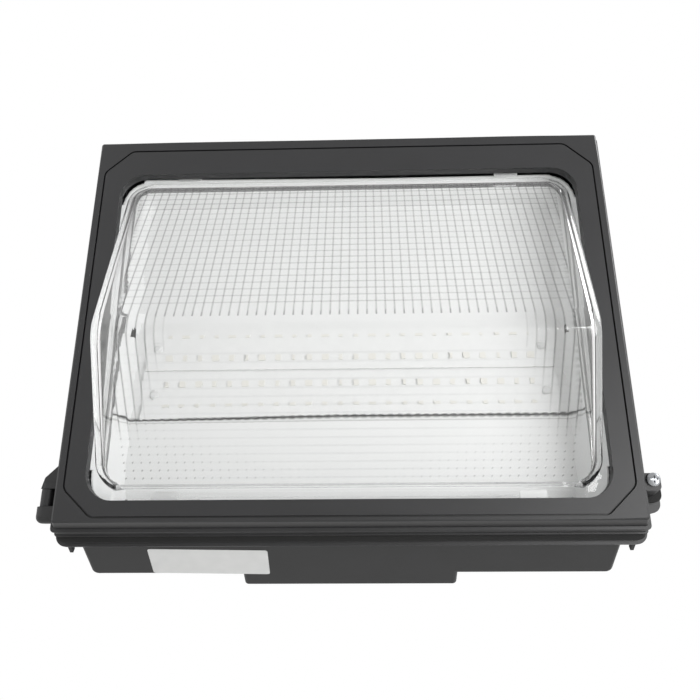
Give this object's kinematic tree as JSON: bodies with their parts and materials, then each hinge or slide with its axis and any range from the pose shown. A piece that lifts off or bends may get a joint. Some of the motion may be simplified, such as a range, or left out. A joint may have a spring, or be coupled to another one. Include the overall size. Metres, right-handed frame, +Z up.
{
  "type": "wall pack light",
  "caption": "Wedge-shaped cast wall pack light with a slanted side-hinged door frame, a prismatic glass refractor bowl, an LED tray inside and a back pad for wall bolts.",
  "frame": {"origin": "centre of the housing's back pad, on the wall", "axes": "+X to the right as seen from the front, +Y into the wall, +Z up"},
  "size_m": [0.3783, 0.2132, 0.2438],
  "materials": {
    "housing_paint": "fine textured powder coat, satin",
    "door_paint": "fine textured powder coat, satin",
    "seal_rubber": "matt",
    "refractor_glass": "clear pressed glass with prisms",
    "spring_steel": "zinc plated",
    "screw_steel": "stainless, bright",
    "pin_steel": "stainless",
    "tray_aluminium": "mill finish",
    "white_reflector": "gloss white",
    "board_mask": "white solder mask",
    "chip_yellow": "phosphor",
    "driver_case": "satin",
    "terminal_plastic": "moulded",
    "ground_green": "green dyed zinc",
    "plug_paint": "powder coat"
  },
  "bodies": {
    "housing": {"housing": "housing_paint", "wall_gasket": "seal_rubber", "door_gasket": "seal_rubber", "mounting_plate": "tray_aluminium", "plate_screws": "screw_steel", "reflector": "white_reflector", "led_board_lower": "board_mask", "led_board_upper": "board_mask", "led_chips_lower": "chip_yellow", "led_chips_upper": "chip_yellow", "board_screws": "screw_steel", "led_driver": "driver_case", "driver_screws": "screw_steel", "terminal_block": "terminal_plastic", "ground_screw": "ground_green", "plug_seal_left": "seal_rubber", "plug_seal_right": "seal_rubber", "conduit_plug_left": "plug_paint", "conduit_plug_right": "plug_paint"},
    "door": {"door_frame": "door_paint", "lens": "refractor_glass", "lens_gasket": "seal_rubber", "lens_clips": "spring_steel", "lens_clip_screws": "screw_steel", "hinge_pin": "pin_steel"},
    "screw_slide": {"screw_retainer": "spring_steel"},
    "captive_screw": {"captive_screw": "screw_steel"}
  },
  "joints": [
    {"name": "door_swing", "type": "hinge", "parent": "housing", "child": "door", "pos_m": [-0.1827, -0.06723, -0.06654], "axis": [0, 0.5299, -0.848], "range_deg": [0, 110]},
    {"name": "captive_screw_back_out", "type": "slide", "parent": "door", "child": "screw_slide", "axis": [0, -0.848, -0.5299], "range_m": [0, 0.0097]},
    {"name": "captive_screw_turn", "type": "hinge", "parent": "screw_slide", "child": "captive_screw", "pos_m": [0.181, -0.07931, -0.05758], "axis": [0, -0.848, -0.5299], "range_deg": [0, 4366]}
  ],
  "couplings": [
    {"joint": "captive_screw_turn", "follows": "captive_screw_back_out", "rad_per_m": 7854}
  ]
}
